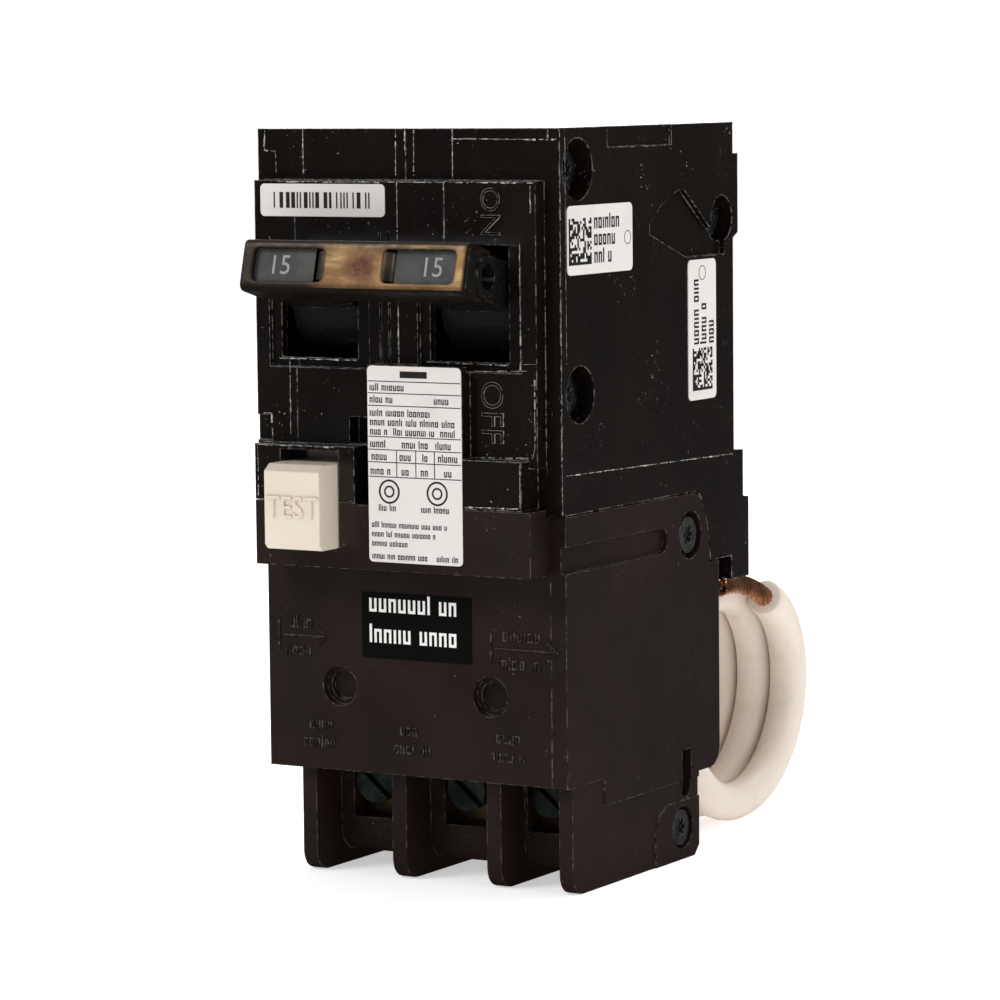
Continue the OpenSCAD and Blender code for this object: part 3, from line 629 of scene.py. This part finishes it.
# the tabs: radius of the bend, straight run after it, thickness, and gap to the window's edges
TAB_BEND, TAB_RUN, TAB_T, TAB_GAP = 1.55, 1.6, TIE_T * 0.8, 0.35


def arc(cx, cy, r, first, last, steps=6):
    """Points of an arc, in degrees."""
    return [(cx + r * math.cos(math.radians(first + (last - first) * k / steps)),
             cy + r * math.sin(math.radians(first + (last - first) * k / steps))) for k in range(steps + 1)]


def prism(outline, along, place):
    """A closed prism of an outline between two stations."""
    n = len(outline)
    verts = [place(along[0], *p) for p in outline] + [place(along[1], *p) for p in outline]
    faces = [[k for k in range(n - 1, -1, -1)], [n + k for k in range(n)]]
    faces += [[k, (k + 1) % n, n + (k + 1) % n, n + k] for k in range(n)]
    return verts, faces


def outward(obj):
    """Turn every face of a closed mesh outward."""
    mesh = bmesh.new()
    mesh.from_mesh(obj.data)
    bmesh.ops.recalc_face_normals(mesh, faces=mesh.faces)
    mesh.to_mesh(obj.data)
    mesh.free()


def baked(obj):
    """Replace an object's mesh by the result of its modifiers."""
    graph = bpy.context.evaluated_depsgraph_get()
    mesh = bpy.data.meshes.new_from_object(obj.evaluated_get(graph))
    obj.modifiers.clear()
    obj.data = mesh


def channel_profile():
    """The tie's section: a plate with two flanges and rounded bends, as (u, w)."""
    r, front = TIE_BEND, TIE_REACH
    outer = [(TIE_BACK, -TIE_HALF)] + arc(front - r, -TIE_HALF + r, r, -90, 0)
    outer += arc(front - r, TIE_HALF - r, r, 0, 90) + [(TIE_BACK, TIE_HALF)]
    k, face, half = r - TIE_T, front - TIE_T, TIE_HALF - TIE_T
    inner = [(TIE_BACK, half)] + arc(face - k, half - k, k, 90, 0, 3) + arc(face - k, -half + k, k, 0, -90, 3)
    inner.append((TIE_BACK, -half))
    return outer + inner


def make_tie():
    """Stamped channel with two windows, whose inner ends are tabs bent in beside the handles."""
    tie = add_object("handle_tie_channel", *prism(channel_profile(), TIE_X, tie_point),
                     MATERIALS["bronze_steel"])
    outward(tie)
    for x0, x1 in TIE_WINDOWS:
        r, half = WINDOW_CORNER, WINDOW_HALF
        outline = (arc(x1 - r, half - r, r, 0, 90) + arc(x0 + r, half - r, r, 90, 180)
                   + arc(x0 + r, -half + r, r, 180, 270) + arc(x1 - r, -half + r, r, 270, 360))
        through = (TIE_REACH - 2, TIE_REACH + 1)
        cutter = add_object("window_cut", *prism(outline, through, lambda u, x, w: tie_point(x, u, w)), None)
        outward(cutter)
        cut = tie.modifiers.new("window", "BOOLEAN")
        cut.object, cut.solver = cutter, "EXACT"
        baked(tie)
        bpy.data.objects.remove(cutter)
    soften = tie.modifiers.new("soften", "BEVEL")
    soften.width, soften.segments = TIE_EDGE * MM, 2
    soften.limit_method, soften.angle_limit = "ANGLE", math.radians(50)
    baked(tie)

    # a tab's outline starts 0.3 mm inside the face, goes round the bend and comes back
    top, start = TIE_REACH - 0.05, -0.3
    foot = top - TAB_BEND - TAB_RUN
    outline = [(start, top)]
    outline += [(a, u) for u, a in arc(top - TAB_BEND, 0, TAB_BEND, 0, 90, 8)] + [(TAB_BEND, foot)]
    thin = TAB_BEND - TAB_T
    outline += [(thin, foot)] + [(a, u) for u, a in arc(top - TAB_BEND, 0, thin, 0, 90, 8)][::-1]
    outline.append((start, top - TAB_T))
    reach = (-WINDOW_HALF + TAB_GAP, WINDOW_HALF - TAB_GAP)
    verts, faces = [], []
    for hinge, way in ((TIE_WINDOWS[0][1], -1), (TIE_WINDOWS[1][0], 1)):
        v, f = prism(outline, reach, lambda w, a, u: tie_point(hinge + way * a, u, w))
        faces += [[i + len(verts) for i in face] for face in f]
        verts += v
    tabs = add_object("handle_tie_tabs", verts, faces, TAB_PAINTED_SHADE)
    outward(tabs)
    finish_piece(tie, "handles")
    finish_piece(tabs, "handles")
    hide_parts("handle_tie")


# ---- test button's return spring ----
SPRING_AXIS = (-14.0, 55.45)
SPRING_R, SPRING_WIRE_R, SPRING_TURNS = 2.6, 0.3, 5
SPRING_Y = (4.8, 10.6)
# turns at each end that lie almost flat
SPRING_CLOSED = 0.75


def make_spring():
    """Compression spring with closed ends."""
    steps = SPRING_TURNS * 24
    points = []
    for k in range(steps + 1):
        turn = SPRING_TURNS * k / steps
        t = min(max((turn - SPRING_CLOSED) / (SPRING_TURNS - 2 * SPRING_CLOSED), 0.0), 1.0)
        y = SPRING_Y[0] + (SPRING_Y[1] - SPRING_Y[0]) * (0.9 * t + 0.1 * turn / SPRING_TURNS)
        a = 2 * math.pi * turn
        points.append(case(SPRING_AXIS[0] + SPRING_R * math.cos(a), y,
                           SPRING_AXIS[1] + SPRING_R * math.sin(a)))
    verts, faces = tube_data(points, [SPRING_WIRE_R * MM] * len(points), 10, Y)
    spring = add_object("return_spring", verts, faces, MATERIALS["screw_steel"], smooth=True)
    finish_piece(spring)
    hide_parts("test_spring")
    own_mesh(spring)


# ---- print on the labels ----
LABEL_T = 0.12
# one run of random numbers for all print and raised marks, drawn in the order of the calls
rng = random.Random(21)


def serial_print():
    s = Sheet(front_place(ESCUTCHEON_Y - LABEL_T))
    # a row of bars of several widths in place of a number
    u = -20.9
    while u < -4.6:
        w = rng.choice((0.22, 0.22, 0.4, 0.62))
        s.bar(u, u + w, 98.2, 100.5)
        u += w + rng.choice((0.3, 0.3, 0.5, 0.8))
    s.build("serial_print", BLACK_INK)


def rating_print():
    s = Sheet(front_place(LEDGE_Y - LABEL_T))
    left, right, rule = -3.8, 11.6, 0.06
    for z in (73.7, 72.0, 70.2, 65.75, 63.9, 62.1, 60.0):
        s.bar(left, right, z - rule, z + rule)
    for x in (0.9, 4.1, 7.2):
        s.bar(x - rule, x + rule, 60.0, 63.9)
    s.bar(1.6, 6.1, 74.25, 75.2)
    # each line of print: its foot, its height, and where its words run
    lines = [(72.35, 1.05, ((-3.5, 2.9),)),
             (70.6, 1.05, ((-3.5, 0.9), (7.2, 10.0))),
             (68.7, 1.05, ((-3.5, 7.3),)),
             (67.35, 1.05, ((-3.5, 10.9),)),
             (66.0, 1.05, ((-3.5, -0.5), (0.4, 7.4), (8.2, 11.3))),
             (64.2, 1.1, ((-3.5, -0.3), (1.8, 6.4), (7.4, 10.3))),
             (62.4, 1.1, ((-3.3, -0.2), (1.4, 3.7), (5.2, 6.2), (7.8, 11.4))),
             (60.3, 1.1, ((-3.5, 0.5), (1.7, 3.3), (4.9, 6.3), (8.8, 10.6))),
             (55.1, 0.95, ((-2.2, 1.4), (4.9, 10.3))),
             (52.7, 0.85, ((-3.4, 9.3),)),
             (51.35, 0.85, ((-3.4, 7.4),)),
             (50.0, 0.85, ((-3.4, 3.4),)),
             (48.15, 0.9, ((-3.4, 6.0), (7.4, 11.3)))]
    for z, h, spans in lines:
        for a, b in spans:
            s.words(a, b, z, z + h, rng)
    # two plain round marks
    for x in (-0.4, 7.6):
        s.ring(x, 57.9, 1.75, 0.28)
        s.ring(x, 57.9, 0.875, 0.26, 24)
    s.build("rating_print", BLACK_INK)


def neutral_print():
    s = Sheet(front_place(BROWN_Y - LABEL_T))
    s.words(-7.6, 7.6, 39.6, 42.3, rng)
    s.words(-7.6, 9.6, 35.1, 37.8, rng)
    s.build("neutral_print", WHITE_INK)


def side_prints():
    s = Sheet(side_place(HALF_W + LABEL_T))
    s.code(2.3, 90.2, 6.6, 16, rng)
    for z, end in ((95.2, 18.5), (92.8, 16.5), (90.3, 15.1)):
        s.words(9.7, end, z, z + 2.1, rng)
    s.ring(19.6, 93.6, 1.0, 0.1, 24)
    s.code(39.6, 69.9, 6.3, 16, rng)
    for y, top in ((39.6, 86.6), (42.0, 83.3), (44.4, 80.4)):
        s.words(76.8, top, y, y + 2.0, rng, turned=True)
    s.ring(42.8, 87.4, 1.1, 0.1, 24)
    s.build("side_print", BLACK_INK)


make_tie()
make_spring()
serial_print()
rating_print()
neutral_print()
side_prints()


# ---- generic lettering, in relief ----
def lettering(name, text, size, depth, to_world, material, body="root", stretch=1.0):
    """Generic lettering as a solid, centred on its own origin, laid by the matrix to_world."""
    curve = bpy.data.curves.new(name, "FONT")
    curve.body = text
    curve.size = size * MM
    curve.extrude = depth * MM / 2
    curve.resolution_u = 4
    curve.align_x = curve.align_y = "CENTER"
    holder = link_object(name + "_curve", curve)
    graph = bpy.context.evaluated_depsgraph_get()
    mesh = bpy.data.meshes.new_from_object(holder.evaluated_get(graph))
    bpy.data.objects.remove(holder)
    mesh.name = name
    mesh.transform(Matrix.Diagonal((stretch, 1, 1, 1)))
    mesh.transform(to_world)
    mesh.materials.clear()
    mesh.materials.append(material)
    return finish_piece(link_object(name, mesh), body)


def face_matrix(centre, across, up):
    """Text axes: across and up are the directions of its X and Y; it faces across x up."""
    out = across.cross(up)
    m = Matrix((across, up, out)).transposed().to_4x4()
    m.translation = centre
    return m


KNOB_FACE = TIE_REACH - 0.9
BUTTON_FACE = (-13.95, -9.6, 55.3)
for name, x in (("left", -13.8), ("right", 11.5)):
    centre = tie_point(x, KNOB_FACE + 0.02, 0)
    lettering("rating_number_" + name, "15", 4.0, 0.06, face_matrix(centre, X, TIE_UP), GREY_INK,
              "handles", 0.98)
lettering("test_word", "TEST", 4.6, 0.56, face_matrix(case(*BUTTON_FACE), X, Z), CREAM_LETTER,
          "test_button", 0.90)
for name, text, size, z in (("on_word", "ON", 4.5, 97.9), ("off_word", "OFF", 5.2, 69.6)):
    centre = case(15.3, ESCUTCHEON_Y, z)
    lettering(name, text, size, 0.4, face_matrix(centre, -Z, X), LETTER_WEAR_AND_HIGHLIGHT)


def raised_marks():
    """Moulded arrows and rows of strokes on the brown front, proud of the face."""
    s = Sheet(front_place(BROWN_Y), 0.16)
    for x0, x1 in ((-22.6, -14.8), (13.6, 24.0)):
        s.bar(x0 - 0.9, x0 - 0.65, 33.0, 37.6)
        s.bar(x0, x1 - 0.4, 35.2, 35.5)
        s.poly([(x1 - 2.0, 36.6), (x1 - 1.7, 36.75), (x1, 35.35), (x1 - 0.3, 35.35)])
        s.poly([(x1 - 2.0, 34.1), (x1 - 0.3, 35.35), (x1, 35.35), (x1 - 1.7, 33.95)])
        s.words(x0 + 1.2, x1 - 2.4, 36.5, 38.4, rng)
        s.words(x0 + 0.4, x1 - 2.0, 32.4, 34.3, rng)
    for x in (-16.2, -0.6, 15.6):
        s.words(x - 2.0, x + 2.4, 21.7, 23.4, rng)
        s.words(x - 3.1, x + 3.4, 19.0, 20.7, rng)
    s.build("raised_marks", MATERIALS["brown_case"])


raised_marks()


# ---- scuffed moulding lines ----
def scuff_line(sheet, points, width, rng):
    """Short irregular slivers along a polyline, with gaps."""
    for (u0, v0), (u1, v1) in zip(points, points[1:]):
        length = math.hypot(u1 - u0, v1 - v0)
        du, dv = (u1 - u0) / length, (v1 - v0) / length
        at = 0.0
        while at < length:
            run = rng.uniform(0.25, 1.6)
            end = min(at + run, length)
            w = width * rng.choice((0.35, 0.6, 0.8, 1.0, 1.5)) / 2
            shift = rng.uniform(-0.03, 0.03)
            a = (u0 + du * at - dv * shift, v0 + dv * at + du * shift)
            b = (u0 + du * end - dv * shift, v0 + dv * end + du * shift)
            sheet.poly([(a[0] - dv * w * 0.4, a[1] + du * w * 0.4),
                        (a[0] + dv * w * 0.5, a[1] - du * w * 0.5),
                        (b[0] + dv * w, b[1] - du * w), (b[0] - dv * w * 0.7, b[1] + du * w * 0.7)])
            at = end + (rng.uniform(0.1, 0.7) if rng.random() < 0.3 else 0.0)


# moulding lines with wear, as (x, z) along each, by the Y of the face they're on
FRONT_LINES = {
    0.0: [[(-24.0, 109.3), (-24.1, 106.5), (-22.2, 106.3), (-22.1, 102.9)],
          [(-17.4, 109.4), (-17.4, 102.9)], [(-1.6, 109.4), (-1.7, 102.9)],
          [(-0.1, 109.4), (-0.1, 106.5)], [(1.4, 109.4), (1.3, 102.9)],
          [(7.8, 109.4), (7.8, 102.9)], [(7.9, 108.1), (24.8, 108.0)],
          [(23.4, 109.3), (23.4, 108.2)]],
    ESCUTCHEON_Y: [[(-20.4, 102.0), (-0.4, 102.0)], [(0.2, 102.0), (22.4, 102.0)],
                   [(7.8, 101.9), (7.8, 94.1)], [(21.9, 101.6), (21.9, 97.7)],
                   [(0.0, 102.0), (0.0, 93.9)], [(20.1, 93.6), (20.1, 75.7)],
                   [(11.9, 75.3), (21.0, 75.6)], [(4.7, 76.5), (17.2, 76.3), (18.1, 76.4)],
                   [(-20.4, 76.4), (-7.2, 76.4)], [(0.0, 84.0), (0.0, 76.2)],
                   [(-18.6, 76.3), (-18.6, 65.4)], [(20.2, 76.5), (22.5, 76.6)],
                   [(-23.3, 68.3), (-21.9, 68.3), (-21.8, 65.0)],
                   [(12.0, 63.1), (21.9, 63.3), (22.3, 64.6), (22.3, 74.4)]],
    LEDGE_Y: [[(-23.2, 63.9), (-19.6, 63.9), (-9.8, 63.9)], [(21.1, 62.6), (21.1, 56.4)],
              [(12.0, 56.2), (20.8, 56.3)], [(-22.9, 63.7), (-22.9, 56.4)]],
}
# the same on the right side, as (y, z), with each line's width
SIDE_LINES = [([(1.3, 60.6), (52.6, 59.5)], 0.2), ([(0.12, 109.3), (0.12, 55.2)], 0.16),
              ([(1.6, 109.4), (1.6, 76.4)], 0.1)]
FRONT_SCUFF, SCUFF_T = 0.23, 0.02


def scuff_piece():
    local = random.Random(5)
    verts, faces = [], []
    for y, lines in FRONT_LINES.items():
        s = Sheet(front_place(y), SCUFF_T)
        for line in lines:
            scuff_line(s, line, FRONT_SCUFF, local)
        s.add_to(verts, faces)
    s = Sheet(side_place(HALF_W), SCUFF_T)
    for line, width in SIDE_LINES:
        scuff_line(s, line, width, local)
    s.add_to(verts, faces)
    finish_piece(add_object("edge_scuffs", verts, faces, SCUFF_MAT))


scuff_piece()


# dashes on the wire: which turn, how far they lean to the right, and their first and last angle
MARKED_TURNS = ((2, 35, -60, 60), (3, 38, -55, 55), (4, 30, -40, 40))
MARK_LIFT = 0.012


def wire_marks():
    """Faint dashes printed along the insulation of the coil."""
    local = random.Random(11)
    verts, faces = [], []
    for turn, lean, first, last in MARKED_TURNS:
        angle = first
        while angle < last:
            span = local.uniform(2.0, 4.5)
            if local.random() < 0.75:
                base = len(verts)
                for t in (angle, angle + span):
                    centre = helix_point(HELIX_START + 360 * (turn - 1) + (t + 90))
                    out = Vector((0, math.cos(math.radians(t)), math.sin(math.radians(t))))
                    for d in (-7, 7):
                        a = math.radians(lean + d)
                        toward = math.sin(a) * X + math.cos(a) * out
                        verts.append(centre + (WIRE_R + MARK_LIFT) * MM * toward)
                faces.append([base, base + 1, base + 3, base + 2])
            angle += span + local.uniform(1.5, 4.0)
    finish_piece(add_object("wire_marks", verts, faces, FAINT_INK))


wire_marks()


# ---- floor and light ----
def make_floor():
    n = Nodes("floor")
    pale = n.mix(n.ramp(n.noise(3, 3), 0.3, 0.7), (0.90, 0.90, 0.90), (0.88, 0.88, 0.88))
    # reflections see a darker floor, as they do with black cards round a glossy product
    mirrored = n.new("ShaderNodeLightPath").outputs["Is Glossy Ray"]
    n.set(Base_Color=n.mix(mirrored, pale, (0.05, 0.05, 0.05)), Roughness=0.9,
          Emission_Color=(1.0, 1.0, 1.0), Emission_Strength=n.ramp(mirrored, 0.0, 1.0, 0.50, 0.0))
    half = 4.0
    corners = [(-half, -half, 0), (half, -half, 0), (half, half, 0), (-half, half, 0)]
    add_object("floor", corners, [[0, 1, 2, 3]], n.mat)


def make_light(name, at, aim, size, power):
    """A soft rectangular light, with places in metres."""
    data = bpy.data.lights.new(name, "AREA")
    data.shape = "RECTANGLE"
    data.size, data.size_y = size
    data.energy = power
    light = link_object(name, data)
    light.location = at
    light.rotation_euler = (Vector(aim) - Vector(at)).to_track_quat("-Z", "Y").to_euler()


PANEL_DIRECTION = (-0.50, 0.86, 0.10)


def make_world():
    """White to the camera, softly bright as a light, and dark to reflections but for one panel behind."""
    world = bpy.data.worlds.new("world")
    bpy.context.scene.world = world
    world.use_nodes = True
    tree = world.node_tree
    link = tree.links.new
    direction = tree.nodes.new("ShaderNodeTexCoord").outputs["Generated"]
    seen = tree.nodes.new("ShaderNodeLightPath")

    def map_range(value, low, high, out_low, out_high):
        node = tree.nodes.new("ShaderNodeMapRange")
        limits = {"From Min": low, "From Max": high, "To Min": out_low, "To Max": out_high}
        for name, number in limits.items():
            node.inputs[name].default_value = number
        link(value, node.inputs["Value"])
        return node.outputs["Result"]

    def choose(is_ray, otherwise, value):
        node = tree.nodes.new("ShaderNodeMix")
        link(seen.outputs[is_ray], node.inputs["Factor"])
        for name, source in (("A", otherwise), ("B", value)):
            socket = next(k for k in node.inputs if k.name == name and k.type == "VALUE")
            if isinstance(source, float):
                socket.default_value = source
            else:
                link(source, socket)
        return next(k for k in node.outputs if k.type == "VALUE")

    split = tree.nodes.new("ShaderNodeSeparateXYZ")
    link(direction, split.inputs[0])
    light = map_range(split.outputs["Y"], -0.45, 0.5, 0.34, 0.85)
    toward_panel = tree.nodes.new("ShaderNodeVectorMath")
    toward_panel.operation = "DOT_PRODUCT"
    link(direction, toward_panel.inputs[0])
    toward_panel.inputs[1].default_value = PANEL_DIRECTION
    panel = map_range(toward_panel.outputs["Value"], 0.93, 0.98, 0.045, 3.2)
    strength = choose("Is Camera Ray", choose("Is Glossy Ray", light, panel), 1.0)
    link(strength, tree.nodes["Background"].inputs["Strength"])
    tree.nodes["Background"].inputs["Color"].default_value = (1, 1, 1, 1)


make_floor()
make_light("key", (-0.55, -0.7, 0.8), (0, 0, 0.06), (0.45, 0.45), 5.2)
make_light("overhead", (0.05, 0.45, 0.9), (0, 0, 0.05), (0.9, 0.6), 7.0)
make_light("fill", (0.95, -0.25, 0.35), (0, 0.02, 0.05), (0.4, 0.7), 1.3)
make_world()
bpy.context.scene.view_settings.view_transform = "Standard"
